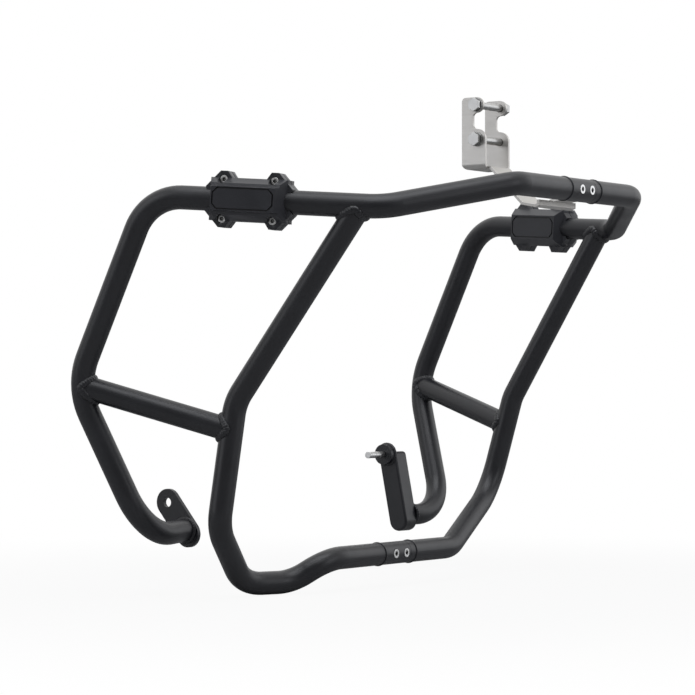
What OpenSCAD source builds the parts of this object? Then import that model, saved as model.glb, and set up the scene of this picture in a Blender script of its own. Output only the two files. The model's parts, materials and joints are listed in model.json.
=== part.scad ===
// Two-piece tubular crash bars for a motorcycle, with a front frame bracket and slider blocks.
// Right half on -X, left half on +X, front of the motorcycle towards -Y, up is +Z.
// The origin is midway between the two bolts of the front bracket.

/* [Tubes] */
// Outer diameter of every tube
tube_d = 25.4; // [22:0.2:28]
// Wall of every tube
tube_wall = 2; // [1.4:0.1:3.5]
// Gap left at a coped or welded tube end
weld_gap = 0.05; // [0.02:0.01:0.2]

/* [Joints between the halves] */
// Upper joint ahead of the bracket bolts
joint_ahead = 111; // [108:1:118]
// Upper joint below the bracket bolts
joint_drop = 78; // [72:1:86]
// Lower joint behind the upper joint
lower_back = 243; // [225:1:260]
// Lower joint below the upper joint
lower_drop = 403; // [385:1:420]
// Joints towards the left of the middle
joint_shift = 4.5; // [0:0.5:10]
// Length of the half-lap that both ends share
lap_len = 40; // [36:1:48]
// Full round part of a connector outside the lap
collar_len = 12; // [8:1:20]
// Clearance at each face of the lap
lap_gap = 0.2; // [0.1:0.05:0.5]
// Distance between the two screws of a joint
lap_pitch = 21; // [18:0.5:24]
// Spigot of a connector inside the tube
spigot_len = 14; // [8:1:25]
// Clearance between spigot and tube bore
spigot_gap = 0.1; // [0.05:0.05:0.4]
// Rise of the weld ring above the tube
ring_rise = 1; // [0.6:0.1:2.2]

/* [Corners shared by both halves, from the upper joint: out, back, up] */
// Upper bar bends away from straight at this distance out
front_bend_out = 124; // [112:1:136]
// Rear top corner of the side tube
rear_top = [327, 329, -12]; // [-500:1:500]
// Rear corner where the side tube turns forward
rear_mid = [332, 425, -213]; // [-500:1:500]
// Rear low corner where the side tube turns inward
rear_low = [291, 362, -375]; // [-500:1:500]
// Rear leg's end runs back by this share of its way in
leg_back = 0.154; // [0:0.002:0.3]
// Rear leg's end rises by this share of its way in
leg_rise = 0.04; // [0:0.002:0.1]
// Lower bar bends away from straight at this distance out
low_bend_out = 124; // [112:1:136]

/* [Corners of the right half] */
// Front corner where the side tube meets the upper bar
right_front = [259, 76, -29.5]; // [-500:0.5:500]
// Share of the side tube at which the down tube joins
right_join = 0.903; // [0.85:0.005:0.915]
// Down tube, upper corner
right_knee = [267, 260, -230]; // [-500:1:500]
// Down tube, lower corner
right_shin = [278, 274, -364]; // [-500:1:500]
// Down tube, outer corner of the dip
right_dip_out = [212.5, 292, -427]; // [-500:0.5:500]
// Down tube, inner corner of the dip
right_dip_in = [151, 271, -427.5]; // [-500:0.5:500]
// Share of the stretch under the knee at which the cross brace ends
right_brace = 0.222; // [0.2:0.005:0.4]
// Side tube ends at this distance out, against the tab
right_end_out = 209; // [200:1:220]

/* [Corners of the left half] */
// Front corner where the side tube meets the upper bar
left_front = [264, 100, -28]; // [-500:0.5:500]
// Share of the side tube at which the down tube joins
left_join = 0.9; // [0.85:0.005:0.915]
// Down tube, upper corner
left_knee = [261, 240, -227.5]; // [-500:0.5:500]
// Down tube, lower corner
left_shin = [253, 269, -342]; // [-500:1:500]
// Share of the stretch under the knee at which the cross brace ends
left_brace = 0.283; // [0.24:0.005:0.4]
// Side tube ends at this distance out, against the box
left_end_out = 230; // [222:1:240]

/* [Bend radii] */
// Upper bar into the front stretch
bend_bar = 42; // [30:1:55]
// Front stretch into the side tube
bend_front = 39; // [30:1:44]
// Side tube at the rear top corner
bend_rear_top = 56; // [40:1:80]
// Side tube at the rear corner
bend_rear_mid = 76; // [50:1:100]
// Side tube at the rear low corner
bend_rear_low = 57; // [40:1:75]
// Down tube at the knee
bend_knee = 46; // [36:1:50]
// Down tube at the shin, right half
bend_shin = 40; // [30:1:55]
// Down tube in the dip, right half
bend_dip = 50; // [35:1:58]
// Down tube at the shin, left half
bend_shin_left = 60; // [40:1:90]
// Down tube into the lower bar
bend_low = 50; // [35:1:60]

/* [Rear mounts] */
// Thickness of the tab plate
tab_t = 5; // [4:0.5:8]
// Half width of the tab
tab_r = 15; // [13.5:0.5:18]
// Tab hole behind the tube end
tab_back = 25; // [22:1:35]
// Tab hole above the tube end
tab_up = 30; // [26:1:40]
// Tab foot past the tube centre, away from the hole
tab_foot = 5; // [2:0.5:9]
// Hole in the tab
tab_hole_d = 10.5; // [8.5:0.5:13]
// Width of the box
box_w = 25.4; // [24:0.2:30]
// Depth of the box across the motorcycle
box_depth = 25; // [20:1:32]
// Height of the box between its end centre and its top
box_h = 85; // [75:1:95]
// Lean of the box towards the rear, in degrees
box_lean = 11.3; // [6:0.1:16]
// Box end centre below the tube centre
box_low = 7; // [4:0.5:10]
// Wall of the box
box_wall = 3; // [2:0.5:5]
// Rounding of the upper box corners
box_corner = 5; // [2:0.5:8]
// Diameter of the boss
boss_d = 25; // [20:0.5:30]
// Boss centre below the top round of the box
boss_drop = 2; // [0:0.5:6]
// Boss standing out of the box
boss_out = 8; // [5:0.5:14]
// Diameter of the stud
stud_d = 8; // [6:0.5:12]
// Free length of the stud
stud_len = 33; // [20:1:45]
// Stud set into the boss
stud_in = 6; // [3:0.5:7.5]
// Diameter of the stud's root and of its relief at the boss
stud_root_d = 6.8; // [5:0.2:7.6]
// Length of the relief between boss and thread
stud_relief = 1; // [0.5:0.5:2]

/* [Front bracket] */
// Distance over the outer faces of the two plates
plates_over = 51; // [46:0.5:60]
// Sheet thickness of the bracket
sheet_t = 3; // [2.5:0.5:4]
// Distance between the two bolts
bolt_pitch = 38; // [34:0.5:44]
// Diameter of the bracket bolts
bolt_d = 8; // [6:0.5:9]
// Clearance of each bolt hole over the bolt
bolt_clear = 0.8; // [0.4:0.1:1.2]
// Radius of the upper ear around its bolt
ear_top_r = 8.5; // [8:0.5:11]
// Radius of the lower ear around its bolt
ear_low_r = 11.5; // [10:0.5:14]
// Rear edge of the plates behind the bolts
spine_back = 19; // [17:0.5:24]
// Width of the spine between the ears
spine_w = 14.5; // [10:0.5:15]
// Fillet where the spine meets an ear
waist_r = 5; // [2:0.5:6]
// Underside of the bracket below the bolts' middle
bracket_low = 52; // [48:1:56]
// Outer radius of the folds and the low rear corner
fold_r = 6; // [4.5:0.5:8]
// Width of the strap
strap_w = 40; // [34:1:42]
// Width of the foot under the upper bar
foot_w = 78; // [60:1:84]
// Width of the saddle behind the joint
saddle_w = 34; // [32:1:36]
// Flat on the rear of the joint, from the bar centre
saddle_flat = 10; // [9:0.25:11]
// Foot behind the bar centre
foot_back = 24; // [20:0.5:28]
// Foot below the bar centre
foot_low = 18.5; // [17:0.5:22]
// Lower end of the sloping strap, behind the bar centre
slope_back = 56; // [50:1:62]
// Top of the saddle above the bar centre
saddle_up = 10; // [8:0.5:14]
// Strap in front of the lower ear before it slopes
strap_ahead = 3; // [2:0.5:6]
// Rise of the strap over its sloping stretch's lower end
slope_rise = 5; // [2:0.5:8]
// Length of the bend at the front of the foot
toe_in = 5; // [3:0.5:8]
// Rise of the bend at the front of the foot
toe_up = 2; // [1:0.5:4]
// Height of the foot's front lip
lip_up = 7; // [5:0.5:9]

/* [Slider blocks] */
// Middle of a block in front of the rear top corner
block_at = 117; // [105:1:130]
// Length of a block
block_len = 97; // [90:1:105]
// Height of a block over its ears
block_h = 59; // [54:0.5:64]
// Height of the block between the ears
block_body = 45; // [41:0.5:48]
// Reach of the outer half from the tube centre
block_out = 26; // [23:0.5:32]
// Reach of the inner half from the tube centre
block_in = 20; // [17.5:0.5:24]
// Thickness of an ear
ear_t = 9; // [8:0.5:11]
// Height of the raised face
face_h = 25; // [20:0.5:28]
// Length of the raised face
face_len = 71; // [60:1:76]
// Gap between the two halves of a block
block_split = 0.6; // [0.3:0.1:1.5]
// Clearance of the block around the tube
block_clear = 0.1; // [0.05:0.05:0.4]
// Depth of the step around the raised face
face_step = 6; // [4:0.5:8]
// Width of the sloped band beside the raised face
face_band = 3; // [2:0.5:5]
// Half width of an ear at its top
ear_top = 4; // [3:0.5:6]
// Half width of an ear at its root
ear_root = 9; // [7:0.5:11]
// Flat height of a block's end beside its notch
end_flat = 2; // [1:0.5:4]
// Distance between the screws along the tube
block_pitch = 57; // [52:0.5:60]
// Distance between the screws across the tube
block_rise = 41; // [39:0.5:43]
// Notch depth at each end of a block
notch_deep = 11; // [6:0.5:14]

/* [Fasteners] */
// Thread diameter of the joint screws
joint_screw_d = 6; // [5:0.5:7]
// Head diameter of the joint screws
joint_head_d = 10; // [9:0.25:11]
// Thread diameter of the block screws
block_screw_d = 5; // [4:0.5:5.5]
// Head diameter of the block screws
block_head_d = 8.5; // [7.5:0.25:9]
// Length of the block screws under their heads
screw_in = 9; // [7:0.5:12]
// Screw end standing past its nut
screw_past = 1; // [0:0.5:3]
// Bolt end standing past its nut
bolt_past = 2; // [0:0.5:5]
// Lower joint screws end this far inside the joint
screw_short = 3; // [2:0.5:6]
// Clearance of screws in their holes
screw_clear = 0.2; // [0.1:0.05:0.4]
// Clearance of screw heads in their recesses
head_clear = 1; // [0.6:0.1:1.6]

/* [Hidden] */
$fn = 64;

RIGHT = -1;
LEFT = 1;
tube_r = tube_d / 2;
bore_r = tube_r - tube_wall;
lap_half = lap_len / 2;
connector_half = lap_half + collar_len;
upper_joint = [joint_shift, -joint_ahead, -joint_drop];
lower_joint = upper_joint + [0, lower_back, -lower_drop];
join_share = [right_join, left_join];
brace_share = [right_brace, left_brace];
over = 1;
// Corner to corner over flat to flat of a hexagon
hex_over = 1.1547;
// Shares of the thread diameter: hexagon across flats, height of a nut, height of a bolt head
small_hex = 1.65;
bolt_hex = 1.625;
nut_share = 0.8;
head_share = 0.65;
// Shares of a socket head: width of the key recess, and its depth
key_wide = 0.58;
key_deep = 0.55;
// Share of the joint screw's head that lies inside the tongue
head_sunk = 0.6;
// Slope of the raised face's sides
face_draft = 1;
// A bend draws the tube a trace slimmer, and each straight runs a little way into it
bend_slim = 0.02;
bend_lap = 0.5;
// A fillet is cut a trace wider, so that it crosses the edges it joins
fillet_more = 0.04;

function unit(v) = v / norm(v);
function index(side) = side == RIGHT ? 0 : 1;
// A corner given as out, back and up from the upper joint, in the part's own frame
function corner(side, p) = [side * p[0], p[1] - joint_ahead, p[2] - joint_drop];
function lerp(a, b, s) = a + (b - a) * s;

// Corners of the side tube, from the upper joint to the rear end
function rear_end_out(side) = side == RIGHT ? right_end_out : left_end_out;
function rear_end(side) =
  let(step = rear_low[0] - rear_end_out(side))
  corner(side, rear_low + [-step, step * leg_back, step * leg_rise]);
function main_points(side) = [
  upper_joint + [side * connector_half, 0, 0],
  corner(side, [front_bend_out, 0, 0]),
  corner(side, side == RIGHT ? right_front : left_front),
  corner(side, rear_top),
  corner(side, rear_mid),
  corner(side, rear_low),
  rear_end(side)
];
main_bends = [0, bend_bar, bend_front, bend_rear_top, bend_rear_mid, bend_rear_low, 0];

// Corners of the down tube, from the side tube to the lower joint
function down_start(side) =
  let(p = main_points(side)) lerp(p[3], p[2], join_share[index(side)]);
function down_points(side) = side == RIGHT
  ? [down_start(side), corner(side, right_knee), corner(side, right_shin),
     corner(side, right_dip_out), corner(side, right_dip_in),
     corner(side, [low_bend_out, lower_back, -lower_drop]),
     lower_joint + [side * connector_half, 0, 0]]
  : [down_start(side), corner(side, left_knee), corner(side, left_shin),
     corner(side, [low_bend_out, lower_back, -lower_drop]),
     lower_joint + [side * connector_half, 0, 0]];
function down_bends(side) = side == RIGHT
  ? [0, bend_knee, bend_shin, bend_dip, bend_dip, bend_low, 0]
  : [0, bend_knee, bend_shin_left, bend_low, 0];

// Geometry of one bend: turn angle, tangent length, inward normal and centre
function turn(p, i) = acos(unit(p[i] - p[i - 1]) * unit(p[i + 1] - p[i]));
function tangent(p, r, i) = r[i] * tan(turn(p, i) / 2);
function inward(p, i) =
  let(d1 = unit(p[i] - p[i - 1]), d2 = unit(p[i + 1] - p[i])) unit(d2 - d1 * (d1 * d2));
function bend_centre(p, r, i) =
  p[i] - unit(p[i] - p[i - 1]) * tangent(p, r, i) + inward(p, i) * r[i];
// Middle of the bend on the tube's centre line
function bend_middle(p, r, i) =
  let(c = bend_centre(p, r, i)) c + unit(p[i] - c) * r[i];
function stretch_start(p, r, i) =
  i == 0 ? p[0] : p[i] + unit(p[i + 1] - p[i]) * tangent(p, r, i);
function stretch_end(p, r, i) =
  i + 1 == len(p) - 1 ? p[i + 1] : p[i + 1] - unit(p[i + 1] - p[i]) * tangent(p, r, i + 1);

// Places children so that their X, Y and Z lie along the three directions
module frame_at(origin, ex, ey, ez)
  multmatrix([
    [ex[0], ey[0], ez[0], origin[0]],
    [ex[1], ey[1], ez[1], origin[1]],
    [ex[2], ey[2], ez[2], origin[2]],
    [0, 0, 0, 1]
  ]) children();

// Places children with Z along the line from a towards b
module along(a, b) {
  d = unit(b - a);
  side_dir = abs(d[2]) < 0.9 ? [0, 0, 1] : [1, 0, 0];
  ex = unit(cross(side_dir, d));
  frame_at(a, ex, cross(d, ex), d) children();
}

// Straight round bar from a to b, lengthened at each end
module straight(a, b, radius, more_a, more_b)
  along(a - unit(b - a) * more_a, b) cylinder(h = norm(b - a) + more_a + more_b, r = radius);

// Round bar through the bend at corner i, a trace slimmer than the straight bars that it enters
module bend(p, r, i, radius) {
  n = inward(p, i);
  d = unit(p[i] - p[i - 1]);
  frame_at(bend_centre(p, r, i), -n, d, cross(-n, d))
    rotate_extrude(angle = turn(p, i)) translate([r[i], 0]) circle(radius - bend_slim);
}

// Round bar with bends, from stretch first to stretch last of the corners p
module bent(p, r, radius, first, last) {
  for (i = [first:last])
    straight(stretch_start(p, r, i), stretch_end(p, r, i), radius,
             i == first ? 0 : bend_lap, i == last ? 0 : bend_lap);
  if (last > first) for (i = [first + 1:last]) bend(p, r, i, radius);
}

function stretched(p) =
  let(n = len(p)) [for (i = [0:n - 1])
    i == 0 ? p[0] + unit(p[0] - p[1]) * over : i == n - 1 ? p[i] + unit(p[i] - p[i - 1]) * over : p[i]];

module bent_tube(p, r) {
  last = len(p) - 2;
  difference() {
    bent(p, r, tube_r, 0, last);
    bent(stretched(p), r, bore_r, 0, last);
  }
}

// Main tube: upper bar, side tube and rear leg in one
module main_tube(side) {
  p = main_points(side);
  n = len(p);
  lengthened = [for (i = [0:n - 1]) i == n - 1 ? p[i] + unit(p[i] - p[i - 1]) * tube_d : p[i]];
  color("#2b2c30") difference() {
    bent_tube(lengthened, main_bends);
    // The tube end is cut square to the motorcycle, against the tab or the box
    translate([side * (rear_end_out(side) + weld_gap - tube_d * 1.5), p[n - 1][1], p[n - 1][2]])
      cube(tube_d * 3, center = true);
  }
}

// Down tube, coped to the side tube above it
module down_tube(side) {
  p = main_points(side);
  color("#2b2c30") difference() {
    bent_tube(down_points(side), down_bends(side));
    bent(p, main_bends, tube_r + weld_gap, 1, 2);
  }
}

// Cross brace, coped to the side tube and the down tube
module cross_brace(side) {
  p = main_points(side);
  q = down_points(side);
  a = bend_middle(p, main_bends, 4);
  b = lerp(q[1], q[2], brace_share[index(side)]);
  color("#2b2c30") difference() {
    straight(a, b, tube_r, 0, 0);
    straight(a, b, bore_r, over, over);
    bent(p, main_bends, tube_r + weld_gap, 3, 4);
    bent(q, down_bends(side), tube_r + weld_gap, 0, 1);
  }
}

// Oblong plate on the right tube end with one mounting hole
module mount_tab() {
  foot = rear_end(RIGHT);
  reach = unit([0, tab_back, tab_up]);
  foot_at = -reach * tab_foot;
  length = norm([tab_back, tab_up]) + tab_foot;
  tilt = atan2(tab_up, tab_back);
  color("#26272a") frame_at([-right_end_out, foot[1], foot[2]], [0, 1, 0], [0, 0, 1], [1, 0, 0])
    difference() {
      translate([foot_at[1], foot_at[2], 0]) rotate(tilt) {
        linear_extrude(tab_t) {
          translate([0, -tab_r]) square([length, 2 * tab_r]);
          circle(tab_r);
          translate([length, 0]) circle(tab_r);
        }
      }
      translate([tab_back, tab_up, -over]) cylinder(h = tab_t + 2 * over, d = tab_hole_d);
    }
}

// Lower end centre of the left box, on its inner face
box_foot = rear_end(LEFT) - [box_depth, 0, box_low];

// Outline of the box, inset all round
module box_outline(inset) {
  r = box_w / 2 - inset;
  c = box_corner - inset / 2;
  circle(r);
  translate([-r, 0]) square([2 * r, box_h - inset - c]);
  translate([-r + c, box_h - inset - c - over]) square([2 * (r - c), c + over]);
  for (x = [-1, 1]) translate([x * (r - c), box_h - inset - c]) circle(c);
}

module mount_box()
  color("#26272a") frame_at(box_foot, [0, -cos(box_lean), sin(box_lean)],
                            [0, sin(box_lean), cos(box_lean)], [-1, 0, 0])
    translate([0, 0, -box_depth]) difference() {
      linear_extrude(box_depth) box_outline(0);
      translate([0, 0, box_wall]) linear_extrude(box_depth - 2 * box_wall) box_outline(box_wall);
    }

// Boss centre on the inner face of the box, near its top
boss_rise = box_h - boss_drop;
boss_centre = box_foot + [0, boss_rise * sin(box_lean), boss_rise * cos(box_lean)];
module mount_boss()
  color("#26272a") translate(boss_centre) rotate([0, -90, 0]) difference() {
    cylinder(h = boss_out, d = boss_d);
    translate([0, 0, boss_out - stud_in]) cylinder(h = stud_in + over, d = stud_root_d + 2 * weld_gap);
  }

module mount_stud()
  color("silver") translate(boss_centre - [boss_out - stud_in, 0, 0]) rotate([0, -90, 0]) {
    cylinder(h = stud_in + stud_relief + over, d = stud_root_d);
    translate([0, 0, stud_in + stud_relief]) cylinder(h = stud_len - stud_relief, d = stud_d);
  }

// Joint connectors, built at the origin with the bar along X
module weld_ring(x)
  translate([x, 0, 0]) rotate([0, 90, 0])
    rotate_extrude() translate([tube_r, 0]) circle(ring_rise, $fn = 24);

module along_x(from, to, r) translate([from, 0, 0]) rotate([0, 90, 0]) cylinder(h = to - from, r = r);

module screw_places() for (s = [-1, 1]) translate([s * lap_pitch / 2, 0, 0]) children();

seat_depth = tube_r - joint_head_d * head_sunk;

// Right connector, with the front tongue that takes the screw heads
module front_connector() {
  difference() {
    union() {
      along_x(-connector_half, lap_half - lap_gap, tube_r);
      weld_ring(-connector_half + ring_rise);
    }
    translate([-lap_half, -lap_gap, -tube_r - over])
      cube([lap_len + over, tube_r + over + lap_gap, tube_d + 2 * over]);
    screw_places() {
      rotate([90, 0, 0]) cylinder(h = tube_r + over, d = joint_screw_d + 2 * screw_clear);
      translate([0, -seat_depth, 0]) rotate([90, 0, 0])
        cylinder(h = tube_r, d = joint_head_d + head_clear);
    }
  }
  along_x(-connector_half - spigot_len, -connector_half + over, bore_r - spigot_gap);
}

// Left connector, with the rear tongue that the screws pass
module rear_connector(flat) {
  difference() {
    union() {
      along_x(-lap_half + lap_gap, connector_half, tube_r);
      weld_ring(connector_half - ring_rise);
    }
    translate([-lap_half - over, -tube_r - over, -tube_r - over])
      cube([lap_len + over + lap_gap, tube_r + over + lap_gap, tube_d + 2 * over]);
    if (flat) translate([-lap_half - over, saddle_flat, -tube_r - over])
      cube([lap_len + over, tube_r, tube_d + 2 * over]);
    screw_places() rotate([-90, 0, 0])
      cylinder(h = tube_r + over, d = joint_screw_d + 2 * screw_clear);
  }
  along_x(connector_half - over, connector_half + spigot_len, bore_r - spigot_gap);
}

// Socket-head screw with its head towards -Z and its tip towards +Z, seated at Z 0
module socket_screw(d, head_d, length) {
  head_h = d;
  difference() {
    union() {
      translate([0, 0, -head_h]) cylinder(h = head_h, d = head_d);
      cylinder(h = length, d = d);
    }
    translate([0, 0, -head_h - over]) cylinder(h = over + head_h * key_deep, d = head_d * key_wide, $fn = 6);
  }
}

saddle_far = saddle_flat + sheet_t;
nut_h = joint_screw_d * nut_share;
upper_screw_len = seat_depth + saddle_far + nut_h + screw_past;
lower_screw_len = seat_depth + tube_r - screw_short;

module joint_screw(joint, s, length)
  color("silver") translate(joint + [s * lap_pitch / 2, -seat_depth, 0]) rotate([-90, 0, 0])
    socket_screw(joint_screw_d, joint_head_d, length);

module hex_nut(d, across, h)
  difference() {
    cylinder(h = h, d = across * hex_over, $fn = 6);
    translate([0, 0, -over]) cylinder(h = h + 2 * over, d = d + 2 * weld_gap);
  }

module joint_nut(s)
  color("silver") translate(upper_joint + [s * lap_pitch / 2, saddle_far + weld_gap, 0])
    rotate([-90, 0, 0]) hex_nut(joint_screw_d, joint_screw_d * small_hex, nut_h);

// Front bracket
bolt_z = bolt_pitch / 2;
plate_top = bolt_z + ear_top_r;
bolt_hole_d = bolt_d + bolt_clear;

// Rounds the corner between the front edge of the spine and an ear
module waist_fillet(z, ear_r, way) {
  edge = spine_back - spine_w;
  reach = sqrt(pow(ear_r + waist_r, 2) - pow(edge - waist_r, 2));
  middle = [edge - waist_r, z + way * reach];
  corners = [middle, [0, z], [edge + over, z], [edge + over, middle[1]]];
  difference() {
    polygon(way > 0 ? corners : [for (i = [3:-1:0]) corners[i]]);
    translate(middle) circle(waist_r + fillet_more);
  }
}

// Side outline of a plate, with X to the rear and Y up
module plate_outline() {
  low_front = -ear_low_r;
  waist_fillet(bolt_z, ear_top_r, -1);
  waist_fillet(-bolt_z, ear_low_r, 1);
  translate([0, bolt_z]) circle(ear_top_r);
  translate([0, bolt_z]) square([spine_back, ear_top_r]);
  translate([spine_back - spine_w, -bracket_low / 2]) square([spine_w, bracket_low / 2 + bolt_z + over]);
  translate([0, -bolt_z]) circle(ear_low_r);
  translate([low_front, -bracket_low]) square([spine_back - low_front - fold_r, bracket_low - bolt_z]);
  translate([low_front, -bracket_low + fold_r])
    square([spine_back - low_front, bracket_low - bolt_z - fold_r]);
  translate([spine_back - fold_r, -bracket_low + fold_r]) circle(fold_r);
}

// Cross-section of the folded channel, with X across and Y up
module channel_section(inset) {
  half = plates_over / 2 - inset;
  r = fold_r - inset;
  low = -bracket_low + inset;
  translate([-half + r, low]) square([2 * (half - r), plate_top + over - low]);
  translate([-half, low + r]) square([2 * half, plate_top + over - low - r]);
  for (x = [-1, 1]) translate([x * (half - r), low + r]) circle(r);
}

module bracket_channel()
  color("#c9c9c6") difference() {
    intersection() {
      translate([0, spine_back + over, 0]) rotate([90, 0, 0])
        linear_extrude(spine_back + ear_low_r + 2 * over) difference() {
          channel_section(0);
          channel_section(sheet_t);
        }
      translate([-plates_over / 2 - over, 0, 0])
        frame_at([0, 0, 0], [0, 1, 0], [0, 0, 1], [1, 0, 0])
          linear_extrude(plates_over + 2 * over) plate_outline();
    }
    for (z = [-bolt_z, bolt_z]) translate([-plates_over, 0, z]) rotate([0, 90, 0])
      cylinder(h = 2 * plates_over, d = bolt_hole_d);
  }

// Outline of a folded sheet of even thickness along a path of points
function side_step(p, i) =
  let(a = i > 0 ? unit(p[i] - p[i - 1]) : unit(p[1] - p[0]),
      b = i < len(p) - 1 ? unit(p[i + 1] - p[i]) : a,
      m = unit(a + b))
  [-m[1], m[0]] / (m * a);
function sheet_outline(p, t) = concat(
  [for (i = [0:len(p) - 1]) p[i] + side_step(p, i) * t / 2],
  [for (i = [len(p) - 1:-1:0]) p[i] - side_step(p, i) * t / 2]
);

// Folded sheet with its path in Y and Z, spread over X from x0 to x0 + width
module folded_sheet(path, x0, width)
  frame_at([x0, 0, 0], [0, 1, 0], [0, 0, 1], [1, 0, 0])
    linear_extrude(width) polygon(sheet_outline(path, sheet_t));

bar_y = -joint_ahead;
bar_z = -joint_drop;
saddle_y = bar_y + saddle_flat + sheet_t / 2;
foot_y = bar_y + foot_back;
foot_z = bar_z - foot_low;
web_mid = -bracket_low + sheet_t / 2;
toe = [foot_y + toe_in, foot_z];
lip_low = [foot_y, foot_z + toe_up];
lip_top = [foot_y, foot_z + lip_up];
strap_path = [
  [-ear_low_r - weld_gap, web_mid],
  [-ear_low_r - strap_ahead, web_mid],
  [bar_y + slope_back, foot_z + slope_rise],
  toe,
  lip_low
];
foot_path = [toe, lip_low, lip_top];
saddle_path = [
  lip_low,
  lip_top,
  [saddle_y, bar_z - saddle_flat],
  [saddle_y, bar_z + saddle_up]
];

// Strap, foot and saddle that carry the upper joint on the bracket
module bracket_strap()
  color("#c9c9c6") difference() {
    union() {
      folded_sheet(strap_path, -strap_w / 2, strap_w);
      folded_sheet(foot_path, -foot_w / 2, foot_w);
      folded_sheet(saddle_path, joint_shift - saddle_w / 2, saddle_w);
    }
    translate(upper_joint) screw_places() rotate([-90, 0, 0])
      cylinder(h = foot_back, d = joint_screw_d + 2 * screw_clear);
  }

washer_t = 1.6;
washer_d = bolt_d * 2;
plate_out = plates_over / 2;
module at_bolt(i) translate([0, 0, i == 1 ? bolt_z : -bolt_z]) children();

module bracket_washer(i, side)
  color("silver") at_bolt(i) translate([side * (plate_out + weld_gap + washer_t / 2), 0, 0])
    rotate([0, 90, 0]) difference() {
      cylinder(h = washer_t, d = washer_d, center = true);
      cylinder(h = washer_t + 2 * over, d = bolt_d + bolt_clear / 2, center = true);
    }

bolt_seat = plate_out + washer_t + 2 * weld_gap;
bolt_nut_h = bolt_d * nut_share;
bolt_head_h = bolt_d * head_share;
module bracket_bolt(i)
  color("silver") at_bolt(i) rotate([0, 90, 0]) {
    translate([0, 0, -bolt_seat - bolt_head_h])
      cylinder(h = bolt_head_h, d = bolt_d * bolt_hex * hex_over, $fn = 6);
    translate([0, 0, -bolt_seat - over])
      cylinder(h = 2 * bolt_seat + bolt_nut_h + bolt_past + over, d = bolt_d);
  }

module bracket_nut(i)
  color("silver") at_bolt(i) translate([bolt_seat + weld_gap, 0, 0]) rotate([0, 90, 0])
    hex_nut(bolt_d, bolt_d * bolt_hex, bolt_nut_h);

// Slider blocks: local X forward along the tube, Y up, Z away from the motorcycle
module block_frame(side) {
  p = main_points(side);
  d = unit(p[2] - p[3]);
  up = unit([0, 0, 1] - d * d[2]);
  out = [side * abs(cross(d, up)[0]), side * sign(cross(d, up)[0]) * cross(d, up)[1],
         side * sign(cross(d, up)[0]) * cross(d, up)[2]];
  frame_at(p[3] + d * block_at, d, up, out) children();
}

half_len = block_len / 2;
half_h = block_h / 2;
half_body = block_body / 2;
lobe = block_pitch / 2;

// Outline of a block with four screw ears and a notch at each end
module block_outline() {
  quarter = [
    [lobe - ear_root, half_body],
    [lobe - ear_top, half_h],
    [lobe + ear_top, half_h],
    [half_len, notch_deep + end_flat],
    [half_len, notch_deep],
    [half_len - notch_deep, 0]
  ];
  n = len(quarter);
  right_half = concat(quarter, [for (i = [n - 2:-1:0]) [quarter[i][0], -quarter[i][1]]]);
  m = len(right_half);
  polygon(concat(right_half, [for (i = [m - 1:-1:0]) [-right_half[i][0], right_half[i][1]]]));
}

// Body of a half: a profile in Z and Y, drawn out along X and cut back at both ends
module block_body_form(profile, top_len, reach) {
  rise = reach - ear_t;
  intersection() {
    frame_at([-half_len, 0, 0], [0, 0, 1], [0, 1, 0], [1, 0, 0])
      linear_extrude(block_len) polygon(profile);
    frame_at([0, half_h, 0], [1, 0, 0], [0, 0, 1], [0, -1, 0]) linear_extrude(block_h)
      polygon([
        [-half_len + notch_deep / 2, 0], [-half_len + notch_deep / 2, ear_t],
        [-top_len / 2, ear_t + rise], [top_len / 2, ear_t + rise],
        [half_len - notch_deep / 2, ear_t], [half_len - notch_deep / 2, 0]
      ]);
  }
}

module block_screw_places()
  for (x = [-1, 1], y = [-1, 1])
    translate([x * block_pitch / 2, y * block_rise / 2, 0]) children();

block_seat = ear_t - block_screw_d;

module outer_half() {
  low = block_split / 2;
  face = face_h / 2;
  brow = face + face_draft;
  ledge = brow + face_band;
  step = block_out - face_step;
  profile = [
    [low, half_body], [ear_t, half_body], [step - face_draft, ledge], [step, brow], [block_out, face],
    [block_out, -face], [step, -brow], [step - face_draft, -ledge], [ear_t, -half_body], [low, -half_body]
  ];
  difference() {
    union() {
      translate([0, 0, low]) linear_extrude(ear_t - low) block_outline();
      block_body_form(profile, face_len, block_out);
    }
    translate([-half_len - over, 0, 0]) rotate([0, 90, 0])
      cylinder(h = block_len + 2 * over, r = tube_r + block_clear);
    block_screw_places() {
      cylinder(h = ear_t + over, d = block_screw_d + 2 * screw_clear);
      translate([0, 0, block_seat]) cylinder(h = block_out, d = block_head_d + head_clear);
    }
  }
}

module inner_half() {
  low = block_split / 2;
  brow = face_h / 2 + 2 * face_draft;
  profile = [
    [low, half_body], [ear_t, half_body], [block_in, brow],
    [block_in, -brow], [ear_t, -half_body], [low, -half_body]
  ];
  mirror([0, 0, 1]) difference() {
    union() {
      translate([0, 0, low]) linear_extrude(ear_t - low) block_outline();
      block_body_form(profile, face_len + ear_top, block_in);
    }
    translate([-half_len - over, 0, 0]) rotate([0, 90, 0])
      cylinder(h = block_len + 2 * over, r = tube_r + block_clear);
    block_screw_places() translate([0, 0, -over])
      cylinder(h = screw_in - block_seat + 2 * over, d = block_screw_d + 2 * weld_gap);
  }
}

module block_outer(side) color("#1d1e20") block_frame(side) outer_half();
module block_inner(side) color("#1d1e20") block_frame(side) inner_half();
module block_screw(side, x, y)
  color("silver") block_frame(side)
    translate([x * block_pitch / 2, y * block_rise / 2, block_seat + weld_gap]) rotate([180, 0, 0])
      socket_screw(block_screw_d, block_head_d, screw_in);

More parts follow.
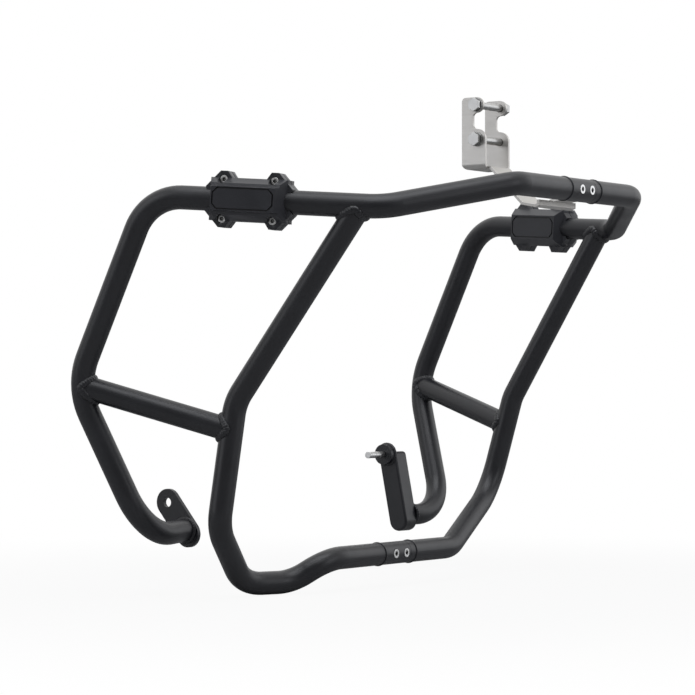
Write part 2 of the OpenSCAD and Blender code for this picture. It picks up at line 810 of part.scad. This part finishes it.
main_tube(RIGHT);  // right_main_tube
down_tube(RIGHT);  // right_down_tube
cross_brace(RIGHT);  // right_cross_brace
mount_tab();  // right_mount_tab
color("#2b2c30") translate(upper_joint) front_connector();  // right_upper_connector
color("#2b2c30") translate(lower_joint) front_connector();  // right_lower_connector
main_tube(LEFT);  // left_main_tube
down_tube(LEFT);  // left_down_tube
cross_brace(LEFT);  // left_cross_brace
mount_box();  // left_mount_box
mount_boss();  // left_mount_boss
mount_stud();  // left_mount_stud
color("#2b2c30") translate(upper_joint) rear_connector(true);  // left_upper_connector
color("#2b2c30") translate(lower_joint) rear_connector(false);  // left_lower_connector
joint_screw(upper_joint, -1, upper_screw_len);  // upper_joint_screw_1
joint_screw(upper_joint, 1, upper_screw_len);  // upper_joint_screw_2
joint_screw(lower_joint, -1, lower_screw_len);  // lower_joint_screw_1
joint_screw(lower_joint, 1, lower_screw_len);  // lower_joint_screw_2
joint_nut(-1);  // upper_joint_nut_1
joint_nut(1);  // upper_joint_nut_2
bracket_channel();
bracket_strap();
bracket_bolt(1);  // bracket_bolt_1
bracket_bolt(2);  // bracket_bolt_2
bracket_nut(1);  // bracket_nut_1
bracket_nut(2);  // bracket_nut_2
bracket_washer(1, -1);  // bracket_washer_1
bracket_washer(1, 1);  // bracket_washer_2
bracket_washer(2, -1);  // bracket_washer_3
bracket_washer(2, 1);  // bracket_washer_4
block_outer(RIGHT);  // right_block_outer
block_inner(RIGHT);  // right_block_inner
block_screw(RIGHT, -1, -1);  // right_block_screw_1
block_screw(RIGHT, -1, 1);  // right_block_screw_2
block_screw(RIGHT, 1, -1);  // right_block_screw_3
block_screw(RIGHT, 1, 1);  // right_block_screw_4
block_outer(LEFT);  // left_block_outer
block_inner(LEFT);  // left_block_inner
block_screw(LEFT, -1, -1);  // left_block_screw_1
block_screw(LEFT, -1, 1);  // left_block_screw_2
block_screw(LEFT, 1, -1);  // left_block_screw_3
block_screw(LEFT, 1, 1);  // left_block_screw_4
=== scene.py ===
"""Looks for the crash bars: camera, light, floor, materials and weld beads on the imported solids."""

import json
import math
import random

import bmesh
import bpy
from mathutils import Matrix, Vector


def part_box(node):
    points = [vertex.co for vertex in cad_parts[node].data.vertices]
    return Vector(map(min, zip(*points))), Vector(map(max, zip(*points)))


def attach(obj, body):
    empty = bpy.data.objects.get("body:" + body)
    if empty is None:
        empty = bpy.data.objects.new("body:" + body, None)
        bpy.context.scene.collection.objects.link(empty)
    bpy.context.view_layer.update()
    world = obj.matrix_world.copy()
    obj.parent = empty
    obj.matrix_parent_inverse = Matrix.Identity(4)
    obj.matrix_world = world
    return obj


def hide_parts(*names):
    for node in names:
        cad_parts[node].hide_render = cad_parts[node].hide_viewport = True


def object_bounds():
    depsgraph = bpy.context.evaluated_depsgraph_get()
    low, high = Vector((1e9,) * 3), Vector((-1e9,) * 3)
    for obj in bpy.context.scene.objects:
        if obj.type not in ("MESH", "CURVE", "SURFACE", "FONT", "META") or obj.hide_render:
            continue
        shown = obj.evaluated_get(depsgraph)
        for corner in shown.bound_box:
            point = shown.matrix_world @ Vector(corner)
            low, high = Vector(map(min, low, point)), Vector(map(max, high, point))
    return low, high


MM = 0.001
ROOT = "root"
TUBE_R = 12.7
BOSS_R = 12.7
# Distance of a tube's surface from its centre line at which a branch counts as meeting it
TOUCH_R = TUBE_R + 0.25
BEAD_STEPS = 170
BEAD_SIDES = 12
SHARP = math.radians(28)
LENS_MM = 134.91
SENSOR_MM = 36
CAMERA_PLACE = (-2.4535, -1.5327, -0.2834)
CAMERA_TILT = 90.696
CAMERA_TURN = -54.9

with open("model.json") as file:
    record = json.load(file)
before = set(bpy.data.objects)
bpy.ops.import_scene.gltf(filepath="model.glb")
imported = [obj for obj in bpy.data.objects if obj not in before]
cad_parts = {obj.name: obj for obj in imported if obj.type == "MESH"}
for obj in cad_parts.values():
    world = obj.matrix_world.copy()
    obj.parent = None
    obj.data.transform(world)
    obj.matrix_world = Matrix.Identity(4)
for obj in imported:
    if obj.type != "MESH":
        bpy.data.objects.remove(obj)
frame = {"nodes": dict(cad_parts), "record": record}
nodes = frame["nodes"]
cad_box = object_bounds()


# Camera, at the photograph's place
lens = bpy.data.cameras.new("camera")
lens.lens = LENS_MM
lens.sensor_width = SENSOR_MM
lens.clip_start = 0.1
lens.clip_end = 100
camera = bpy.data.objects.new("camera", lens)
camera.location = CAMERA_PLACE
camera.rotation_euler = (math.radians(CAMERA_TILT), 0, math.radians(CAMERA_TURN))
bpy.context.scene.collection.objects.link(camera)
bpy.context.scene.camera = camera
bpy.context.scene.view_settings.view_transform = "Standard"


# Materials
class Graph:
    """A material's nodes, made by short calls."""

    def __init__(self, name):
        self.material = bpy.data.materials.new(name)
        self.material.use_nodes = True
        self.tree = self.material.node_tree
        self.shader = self.tree.nodes["Principled BSDF"]

    def add(self, kind, **values):
        made = self.tree.nodes.new(kind)
        for key, value in values.items():
            setattr(made, key, value)
        return made

    def link(self, a, out, b, into):
        self.tree.links.new(a.outputs[out], b.inputs[into])

    def noise(self, scale, detail=3.0, stretch=(1, 1, 1)):
        """Noise in the part's own coordinates; scale is in cells a metre."""
        place = self.add("ShaderNodeTexCoord")
        mapping = self.add("ShaderNodeMapping")
        mapping.inputs["Scale"].default_value = stretch
        self.link(place, "Object", mapping, "Vector")
        made = self.add("ShaderNodeTexNoise")
        made.inputs["Scale"].default_value = scale
        made.inputs["Detail"].default_value = detail
        self.link(mapping, "Vector", made, "Vector")
        return made

    def ramp(self, source, low, high, start=0.3, end=0.7):
        made = self.add("ShaderNodeMapRange")
        made.inputs["From Min"].default_value = start
        made.inputs["From Max"].default_value = end
        made.inputs["To Min"].default_value = low
        made.inputs["To Max"].default_value = high
        self.link(source, "Fac", made, "Value")
        return made

    def colours(self, source, low, high, start=0.3, end=0.7):
        made = self.add("ShaderNodeValToRGB")
        made.color_ramp.elements[0].position = start
        made.color_ramp.elements[0].color = (*low, 1)
        made.color_ramp.elements[1].position = end
        made.color_ramp.elements[1].color = (*high, 1)
        self.link(source, "Fac", made, "Fac")
        self.link(made, "Color", self.shader, "Base Color")
        return made

    def painted_recess_shade(self, colour, reach):
        """Painted shade: darkens the colour towards near black in recesses narrower than reach, in metres,
        where ambient occlusion finds them.
        """
        shade = self.add("ShaderNodeAmbientOcclusion", samples=8)
        shade.inputs["Distance"].default_value = reach
        curve = self.add("ShaderNodeMapRange")
        curve.inputs["From Min"].default_value = 0.25
        curve.inputs["From Max"].default_value = 0.8
        self.link(shade, "AO", curve, "Value")
        mix = self.add("ShaderNodeMix", data_type="RGBA")
        self.tree.links.new(curve.outputs["Result"], mix.inputs["Factor"])
        # Sockets 6 and 7 are the two colours, socket 6 the near-black painted shade, and output 2 is the
        # mixed one
        mix.inputs[6].default_value = (0.004, 0.004, 0.004, 1)
        self.tree.links.new(colour.outputs["Color"], mix.inputs[7])
        self.tree.links.new(mix.outputs[2], self.shader.inputs["Base Color"])

    def bumps(self, layers, edge=0.0):
        """Bump layers of (source, distance in metres, strength), over rounded edges of that radius."""
        last = None
        if edge:
            last = self.add("ShaderNodeBevel", samples=6)
            last.inputs["Radius"].default_value = edge
        for source, distance, strength in layers:
            bump = self.add("ShaderNodeBump")
            bump.inputs["Distance"].default_value = distance
            bump.inputs["Strength"].default_value = strength
            self.link(source, "Fac", bump, "Height")
            if last:
                self.link(last, "Normal", bump, "Normal")
            last = bump
        self.link(last, "Normal", self.shader, "Normal")


def powder_coat(name, edge):
    g = Graph(name)
    cloud = g.noise(22, 4)
    g.colours(cloud, (0.0080, 0.0084, 0.0112), (0.0118, 0.0124, 0.0160))
    g.link(g.ramp(cloud, 0.36, 0.46), "Result", g.shader, "Roughness")
    g.bumps([(g.noise(420, 2), 0.00012, 0.35), (g.noise(2600, 2), 0.00003, 0.4)], edge)
    g.shader.inputs["Coat Weight"].default_value = 0.12
    g.shader.inputs["Coat Roughness"].default_value = 0.3
    return g.material


def moulded_plastic():
    g = Graph("moulded_plastic")
    cloud = g.noise(30, 3)
    # Painted shade darkens the plastic's colour in its grooves and recesses
    g.painted_recess_shade(g.colours(cloud, (0.026, 0.027, 0.032), (0.034, 0.035, 0.041)), 0.005)
    g.link(g.ramp(cloud, 0.30, 0.38), "Result", g.shader, "Roughness")
    g.bumps([(g.noise(3400, 2), 0.00003, 0.5)])
    return g.material


def brushed_sheet():
    g = Graph("brushed_sheet")
    cloud = g.noise(18, 3)
    lines = g.noise(60, 5, (18, 1, 60))
    g.colours(cloud, (0.55, 0.535, 0.51), (0.62, 0.605, 0.58))
    g.link(g.ramp(lines, 0.36, 0.5), "Result", g.shader, "Roughness")
    g.bumps([(lines, 0.00002, 0.3), (g.noise(900, 3), 0.00001, 0.3)])
    g.shader.inputs["Metallic"].default_value = 1
    return g.material


def zinc_plate(name, low, high):
    g = Graph(name)
    cloud = g.noise(120, 3)
    # Painted shade darkens the zinc's colour in the screw heads' hex holes and other recesses
    g.painted_recess_shade(g.colours(cloud, low, high), 0.0035)
    g.link(g.ramp(cloud, 0.26, 0.38), "Result", g.shader, "Roughness")
    g.bumps([(g.noise(500, 2), 0.000006, 0.3)], 0.0004)
    g.shader.inputs["Metallic"].default_value = 1
    return g.material


coat = powder_coat("powder_coat", 0.0)
coat_plate = powder_coat("powder_coat_plate", 0.0006)
plastic = moulded_plastic()
sheet = brushed_sheet()
zinc = zinc_plate("zinc_plate", (0.70, 0.70, 0.69), (0.80, 0.80, 0.79))
# A darker copy of the same zinc plating, with painted shade, for the bracket's bolts, which the lamps would
# otherwise light too white
zinc_shaded = zinc_plate("zinc_plate_shaded", (0.46, 0.46, 0.45), (0.54, 0.54, 0.53))
FINISH = {
    "stainless_sheet": sheet,
    "zinc_steel": zinc,
    "black_plastic": plastic,
    "powder_coat": coat,
}
slots = {p["node"]: p["material_slot"] for p in frame["record"]["subparts"]}
for name, node in nodes.items():
    finish = FINISH[slots[name]]
    if "mount_tab" in name or "mount_box" in name or "mount_boss" in name:
        finish = coat_plate
    # The bracket's zinc parts take the darker copy with painted shade
    elif name.startswith("bracket_") and finish == zinc:
        finish = zinc_shaded
    node.data.materials.clear()
    node.data.materials.append(finish)


# Pieces with rounded edges, over the plates and mouldings whose solids have sharp ones
def at_corner(edge, y, z):
    return all(abs(v.co.y - y) < 2e-4 and abs(v.co.z - z) < 2e-4 for v in edge.verts)


def softened(name, width, finish, corners=(), corner_r=0.004, segments=2):
    """A copy of a node's solid with rounded edges, and larger rounds at the given (y, z) corners."""
    mesh = bmesh.new()
    mesh.from_mesh(nodes[name].data)
    bmesh.ops.remove_doubles(mesh, verts=mesh.verts, dist=2e-6)
    bmesh.ops.dissolve_limit(mesh, angle_limit=math.radians(0.6), verts=mesh.verts, edges=mesh.edges)
    for y, z in corners:
        chosen = [e for e in mesh.edges if at_corner(e, y, z)]
        if chosen:
            bmesh.ops.bevel(mesh, geom=chosen, offset=corner_r, segments=5, profile=0.5, affect="EDGES")
    data = bpy.data.meshes.new(name + "_soft")
    mesh.to_mesh(data)
    mesh.free()
    data.polygons.foreach_set("use_smooth", [True] * len(data.polygons))
    data.set_sharp_from_angle(angle=SHARP)
    made = bpy.data.objects.new(name + "_soft", data)
    bpy.context.scene.collection.objects.link(made)
    edges = made.modifiers.new("edges", "BEVEL")
    edges.width = width
    edges.segments = segments
    edges.limit_method = "ANGLE"
    edges.angle_limit = SHARP
    edges.harden_normals = True
    data.materials.append(finish)
    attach(made, ROOT)
    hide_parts(name)
    return made


softened("right_mount_tab", 0.0007, coat)
softened("left_mount_box", 0.003, coat, segments=4)
channel_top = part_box("bracket_channel")[1]
softened("bracket_channel", 0.0004, sheet, [(channel_top.y, channel_top.z)], 0.0045)
softened("bracket_strap", 0.0004, sheet)


# Centre lines of the tubes, from the same corners as the CAD source, in millimetres
AHEAD, DROP = 111, 78
SHIFT = 4.5
BLOCK_AT = 117
BRACE_SHARE = {-1: 0.222, 1: 0.283}


def corner(side, out, back, up):
    return Vector((side * out, back - AHEAD, up - DROP))


def rear_end(side):
    out = 209 if side < 0 else 230
    step = 291 - out
    return corner(side, 291 - step, 362 + step * 0.154, -375 + step * 0.04)


def main_corners(side):
    front = (259, 76, -29.5) if side < 0 else (264, 100, -28)
    return [
        Vector((SHIFT + side * 32, -AHEAD, -DROP)),
        corner(side, 124, 0, 0),
        corner(side, *front),
        corner(side, 327, 329, -12),
        corner(side, 332, 425, -213),
        corner(side, 291, 362, -375),
        rear_end(side),
    ]


MAIN_BENDS = [0, 42, 39, 56, 76, 57, 0]
REAR_BEND = MAIN_BENDS[4]
DOWN_BENDS = [0, 46, 0]


def down_corners(side):
    p = main_corners(side)
    share = 0.903 if side < 0 else 0.9
    top = p[3].lerp(p[2], share)
    knee, shin = ((267, 260, -230), (278, 274, -364)) if side < 0 else ((261, 240, -227.5), (253, 269, -342))
    return [top, corner(side, *knee), corner(side, *shin)]


def rounded(points, bends, step=1.0):
    """Points along a line through the corners with arcs of the given radii."""
    made = [points[0]]
    for i in range(1, len(points) - 1):
        a = (points[i] - points[i - 1]).normalized()
        b = (points[i + 1] - points[i]).normalized()
        angle = a.angle(b)
        reach = bends[i] * math.tan(angle / 2)
        inward = (b - a * a.dot(b)).normalized()
        centre = points[i] - a * reach + inward * bends[i]
        count = max(4, int(bends[i] * angle / step))
        for k in range(count + 1):
            t = angle * k / count
            made.append(centre - inward * bends[i] * math.cos(t) + a * bends[i] * math.sin(t))
    made.append(points[-1])
    dense = []
    for p, q in zip(made, made[1:]):
        n = max(1, int((q - p).length / (3 * step)))
        dense += [p.lerp(q, k / n) for k in range(n)]
    return dense + [made[-1]]


def nearest(line, p):
    """The point of a dense line that is nearest to p, between its points."""
    i = min(range(len(line)), key=lambda k: (line[k] - p).length_squared)
    best = line[i]
    for j in (i - 1, i + 1):
        if 0 <= j < len(line):
            d = line[j] - line[i]
            t = min(1, max(0, (p - line[i]).dot(d) / d.length_squared))
            q = line[i] + d * t
            if (q - p).length < (best - p).length:
                best = q
    return best


def face_groove(name, side, face, long, tall, cut, width, depth):
    """Frame-shaped cutter, in the local frame of a slider block, for the groove around its face.

    The face stands off the tube's centre line by face, negative for the half on the motorcycle's side.
    """
    p = main_corners(side)
    d = (p[2] - p[3]).normalized()
    up = (Vector((0, 0, 1)) - d * d.z).normalized()
    out = d.cross(up)
    out = out if out.x * side > 0 else -out
    origin = p[3] + d * BLOCK_AT

    def loop(inset, z):
        x, y, c = long - inset, tall - inset, cut - inset * 0.6
        flat = [
            (x - c, y), (x, y - c), (x, c - y), (x - c, -y),
            (c - x, -y), (-x, c - y), (-x, y - c), (c - x, y),
        ]
        return [mesh.verts.new((origin + d * a + up * b + out * z) * MM) for a, b in flat]

    mesh = bmesh.new()
    floor_z, over_z = face - math.copysign(depth, face), face + math.copysign(1, face)
    rings = [loop(0, floor_z), loop(0, over_z), loop(width, over_z), loop(width, floor_z)]
    for i in range(4):
        a, b = rings[i - 1], rings[i]
        for k in range(8):
            mesh.faces.new((a[k - 1], a[k], b[k], b[k - 1]))
    bmesh.ops.recalc_face_normals(mesh, faces=mesh.faces)
    data = bpy.data.meshes.new(name)
    mesh.to_mesh(data)
    mesh.free()
    return bpy.data.objects.new(name, data)


for side, word in ((-1, "right"), (1, "left")):
    for half, face, long, tall in (("outer", 26.0, 34.3, 11.6), ("inner", -20.0, 35.7, 12.7)):
        block = softened(f"{word}_block_{half}", 0.0006, plastic)
        cutter = face_groove(f"{word}_groove_{half}", side, face, long, tall, 5.5, 1.5, 1.6)
        bpy.context.scene.collection.objects.link(cutter)
        groove = block.modifiers.new("groove", "BOOLEAN")
        groove.object = cutter
        groove.operation = "DIFFERENCE"
        groove.solver = "EXACT"
        block.modifiers.move(1, 0)
        bpy.context.view_layer.objects.active = block
        bpy.ops.object.modifier_apply(modifier="groove")
        block.data.set_sharp_from_angle(angle=SHARP)
        bpy.data.objects.remove(cutter)


def bead(name, path, outward, radius, seed):
    """A closed weld bead along path, in millimetres, with the ripple of a hand weld."""
    rng = random.Random(seed)
    mesh = bmesh.new()
    total = sum((path[i] - path[i - 1]).length for i in range(len(path)))
    ripples = max(8, round(total / 2.6))
    rings, run = [], 0.0
    swell = [rng.uniform(-0.08, 0.1) for _ in range(ripples + 1)]
    for i, p in enumerate(path):
        run += (p - path[i - 1]).length if i else 0
        phase = run / total * ripples
        cell = int(phase) % ripples
        ripple = abs(math.sin(math.pi * phase)) ** 0.6 - 0.6
        bulge = 1 + swell[cell] * (1 - abs(2 * (phase % 1) - 1)) + 0.13 * ripple
        tangent = (path[(i + 1) % len(path)] - path[i - 1]).normalized()
        n = (outward[i] - tangent * outward[i].dot(tangent)).normalized()
        b = tangent.cross(n)
        rings.append([
            mesh.verts.new((p + (n * math.cos(t) + b * math.sin(t) * 1.25) * radius * bulge) * MM)
            for t in (2 * math.pi * k / BEAD_SIDES for k in range(BEAD_SIDES))
        ])
    for i in range(len(rings)):
        a, b = rings[i - 1], rings[i]
        for k in range(BEAD_SIDES):
            mesh.faces.new((a[k - 1], a[k], b[k], b[k - 1]))
    bmesh.ops.recalc_face_normals(mesh, faces=mesh.faces)
    data = bpy.data.meshes.new(name)
    mesh.to_mesh(data)
    mesh.free()
    data.polygons.foreach_set("use_smooth", [True] * len(data.polygons))
    made = bpy.data.objects.new(name, data)
    bpy.context.scene.collection.objects.link(made)
    data.materials.append(coat)
    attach(made, ROOT)
    return made


def coped_bead(name, start, end, line, seed, radius=3.5):
    """Bead where a branch tube from start (free side) to end meets the tube with the given centre line."""
    d = (end - start).normalized()
    u = d.cross(Vector((0, 0, 1)) if abs(d.z) < 0.9 else Vector((1, 0, 0))).normalized()
    v = d.cross(u)
    reach = (end - start).length
    path, outward = [], []
    for k in range(BEAD_STEPS):
        t = 2 * math.pi * k / BEAD_STEPS
        radial = u * math.cos(t) + v * math.sin(t)
        low, high = reach - 60, reach - 60
        while high < reach + 25:
            p = start + d * high + radial * TUBE_R
            if (nearest(line, p) - p).length < TOUCH_R:
                break
            low, high = high, high + 2
        for _ in range(12):
            mid = (low + high) / 2
            p = start + d * mid + radial * TUBE_R
            if (nearest(line, p) - p).length < TOUCH_R:
                high = mid
            else:
                low = mid
        p = start + d * high + radial * TUBE_R
        away = (p - nearest(line, p)).normalized()
        mean = (radial + away).normalized()
        path.append(p - mean * 0.7)
        outward.append(mean)
    return bead(name, path, outward, radius, seed)


def ring_bead(name, centre, axis, ring_r, seed, radius=2.2):
    """Bead round a tube end that stands on a flat plate."""
    u = axis.cross(Vector((0, 0, 1))).normalized()
    v = axis.cross(u)
    angles = [2 * math.pi * k / BEAD_STEPS for k in range(BEAD_STEPS)]
    spokes = [u * math.cos(t) + v * math.sin(t) for t in angles]
    path = [centre + s * ring_r for s in spokes]
    return bead(name, path, [(s + axis).normalized() for s in spokes], radius, seed)


for side, word in ((-1, "right"), (1, "left")):
    p = main_corners(side)
    q = down_corners(side)
    main_line = rounded(p, MAIN_BENDS)
    down_line = rounded(q, DOWN_BENDS)
    coped_bead(f"{word}_down_tube_bead", q[1], q[0], main_line, 3 + side)
    # Middle of the rear bend, where the brace starts
    arc = rounded(p[3:6], [0, REAR_BEND, 0])
    upper = nearest(arc, p[4])
    lower = q[1].lerp(q[2], BRACE_SHARE[side])
    coped_bead(f"{word}_brace_bead_low", upper, lower, down_line, 7 + side)
    coped_bead(f"{word}_brace_bead_high", lower, upper, main_line, 11 + side)
    plate = rear_end(side)
    ring_bead(f"{word}_mount_bead", plate, Vector((side, 0, 0)), TUBE_R + 0.4, 15 + side)

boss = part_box("left_mount_boss")
boss_mid = (boss[0] + boss[1]) / 2 / MM
boss_foot = Vector((boss[1].x / MM, boss_mid.y, boss_mid.z))
ring_bead("left_boss_bead", boss_foot, Vector((-1, 0, 0)), BOSS_R, 21, 1.6)


# Floor and light
def floor_material():
    g = Graph("floor")
    tree = g.tree
    place = g.add("ShaderNodeTexCoord")
    length = g.add("ShaderNodeVectorMath", operation="LENGTH")
    g.link(place, "Object", length, 0)
    fade = g.add("ShaderNodeMapRange", interpolation_type="SMOOTHSTEP")
    fade.inputs["From Min"].default_value = 0.3
    fade.inputs["From Max"].default_value = 1.1
    fade.inputs["To Min"].default_value = 0.93
    fade.inputs["To Max"].default_value = 1.0
    tree.links.new(length.outputs["Value"], fade.inputs["Value"])
    path = g.add("ShaderNodeLightPath")
    share = g.add("ShaderNodeMath", operation="MULTIPLY")
    tree.links.new(fade.outputs["Result"], share.inputs[0])
    tree.links.new(path.outputs["Is Camera Ray"], share.inputs[1])
    white = g.add("ShaderNodeEmission")
    white.inputs["Color"].default_value = (1, 1, 1, 1)
    white.inputs["Strength"].default_value = 1
    mix = g.add("ShaderNodeMixShader")
    g.shader.inputs["Base Color"].default_value = (0.6, 0.6, 0.6, 1)
    g.shader.inputs["Roughness"].default_value = 0.9
    tree.links.new(share.outputs[0], mix.inputs["Fac"])
    tree.links.new(g.shader.outputs[0], mix.inputs[1])
    tree.links.new(white.outputs[0], mix.inputs[2])
    tree.links.new(mix.outputs[0], tree.nodes["Material Output"].inputs["Surface"])
    return g.material


low, high = cad_box
bpy.ops.mesh.primitive_plane_add(size=14, location=(0, (low.y + high.y) / 2, low.z - 0.0005))
floor = bpy.context.object
floor.name = "floor"
floor.data.materials.append(floor_material())


def softbox(name, place, aim, width, height, power):
    data = bpy.data.lights.new(name, "AREA")
    data.shape = "RECTANGLE"
    data.size, data.size_y = width, height
    data.energy = power
    data.color = (0.93, 0.95, 1.0)
    lamp = bpy.data.objects.new(name, data)
    lamp.location = place
    lamp.rotation_euler = (Vector(aim) - Vector(place)).to_track_quat("-Z", "Y").to_euler()
    bpy.context.scene.collection.objects.link(lamp)


middle = (0, 0.1, -0.25)
# Name, place, width, height and power in watts
SOFTBOXES = (
    ("top", (-0.7, -0.4, 1.7), 2.2, 1.7, 28),
    ("left", (-2.4, 1.6, 0.7), 1.3, 2.2, 11),
    ("right", (2.5, -1.4, 0.4), 1.4, 2.4, 9),
    ("front", (0.2, -2.6, 0.3), 0.9, 1.4, 7),
)
for name, place, width, height, power in SOFTBOXES:
    softbox(name, place, middle, width, height, power)

world = bpy.data.worlds.new("world")
bpy.context.scene.world = world
world.use_nodes = True
tree = world.node_tree
back = tree.nodes["Background"]
back.inputs["Color"].default_value = (1, 1, 1, 1)
path = tree.nodes.new("ShaderNodeLightPath")
# Reflections see a white backdrop behind and above the object, and a darker room on the other side
diffuse = 0.14
coord = tree.nodes.new("ShaderNodeTexCoord")
toward = tree.nodes.new("ShaderNodeVectorMath")
toward.operation = "DOT_PRODUCT"
toward.inputs[1].default_value = (0.60, 0.38, 0.70)
tree.links.new(coord.outputs["Generated"], toward.inputs[0])
backdrop = tree.nodes.new("ShaderNodeMapRange")
backdrop.inputs["From Min"].default_value = -0.3
backdrop.inputs["From Max"].default_value = 0.9
backdrop.inputs["To Min"].default_value = 0.18 - diffuse
backdrop.inputs["To Max"].default_value = 1.0 - diffuse
tree.links.new(toward.outputs["Value"], backdrop.inputs["Value"])
glossy = tree.nodes.new("ShaderNodeMath")
glossy.operation = "MULTIPLY_ADD"
tree.links.new(backdrop.outputs["Result"], glossy.inputs[1])
glossy.inputs[2].default_value = diffuse
tree.links.new(path.outputs["Is Glossy Ray"], glossy.inputs[0])
seen = tree.nodes.new("ShaderNodeMath")
seen.operation = "MAXIMUM"
tree.links.new(path.outputs["Is Camera Ray"], seen.inputs[0])
tree.links.new(glossy.outputs[0], seen.inputs[1])
tree.links.new(seen.outputs[0], back.inputs["Strength"])
